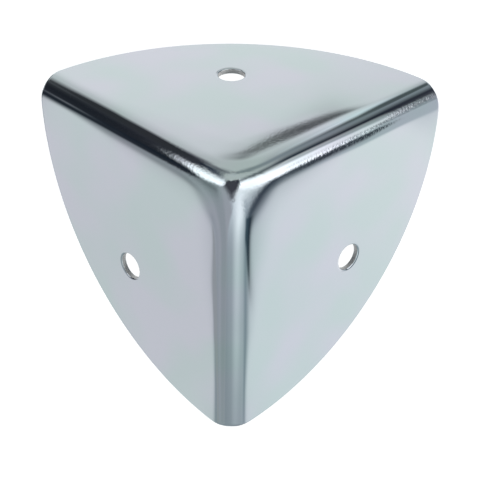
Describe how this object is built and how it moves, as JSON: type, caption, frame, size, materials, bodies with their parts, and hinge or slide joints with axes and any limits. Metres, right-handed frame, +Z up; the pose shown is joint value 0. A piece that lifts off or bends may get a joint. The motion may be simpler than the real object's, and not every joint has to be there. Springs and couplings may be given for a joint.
{
  "type": "case corner",
  "caption": "Pressed sheet-steel corner whose curved-rim leaves wrap a case's edges and meet in a blended ball corner, with an off-centre screw hole in each leaf.",
  "frame": {"origin": "the point of the case that the corner covers: where the planes of the three leaves' inner faces meet", "axes": "+Z up, out of the case's top; the top leaf lies on z = 0, the left leaf on x = 0 and the right leaf on y = 0, and the case fills x > 0, y > 0, z < 0"},
  "size_m": [0.04, 0.04, 0.04],
  "materials": {
    "plated_steel": "bright plated sheet steel, polished outside, duller inside"
  },
  "bodies": {
    "root": {"case_corner": "plated_steel"}
  },
  "joints": []
}
